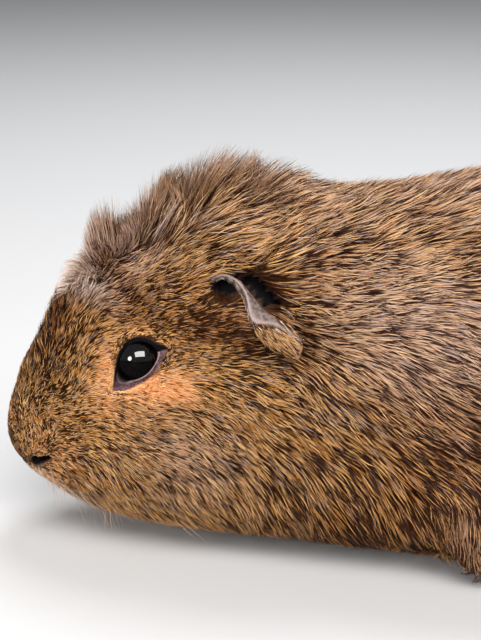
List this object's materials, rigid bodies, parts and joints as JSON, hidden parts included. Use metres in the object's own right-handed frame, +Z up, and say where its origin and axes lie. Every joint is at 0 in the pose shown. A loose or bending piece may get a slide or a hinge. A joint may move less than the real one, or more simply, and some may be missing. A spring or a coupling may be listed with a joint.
{
  "type": "guinea pig",
  "caption": "Crested short-haired guinea pig, adult, crouching with its head low and its ears folded over; a still, life-size model that rests on its belly and feet.",
  "frame": {"origin": "on the floor, under the middle of the animal's box", "axes": "the nose points along -X and the rump along +X; the left side faces -Y; +Z up"},
  "size_m": [0.248, 0.105, 0.096],
  "materials": {
    "coat": "short dense fur, dark brown ticked with golden tan",
    "bare_skin": "thin bare skin, mauve grey, matt",
    "foot_skin": "dark skin with very short hair, matt",
    "eye": "wet gloss, almost black",
    "claw": "dark horn, satin"
  },
  "bodies": {
    "root": {"nose": "coat", "head": "coat", "neck": "coat", "trunk": "coat", "rump": "coat", "ear_left": "bare_skin", "ear_right": "bare_skin", "eye_left": "eye", "eye_right": "eye", "foreleg_left": "coat", "foreleg_right": "coat", "forefoot_left": "foot_skin", "forefoot_right": "foot_skin", "hindleg_left": "coat", "hindleg_right": "coat", "hindfoot_left": "foot_skin", "hindfoot_right": "foot_skin"}
  },
  "joints": []
}
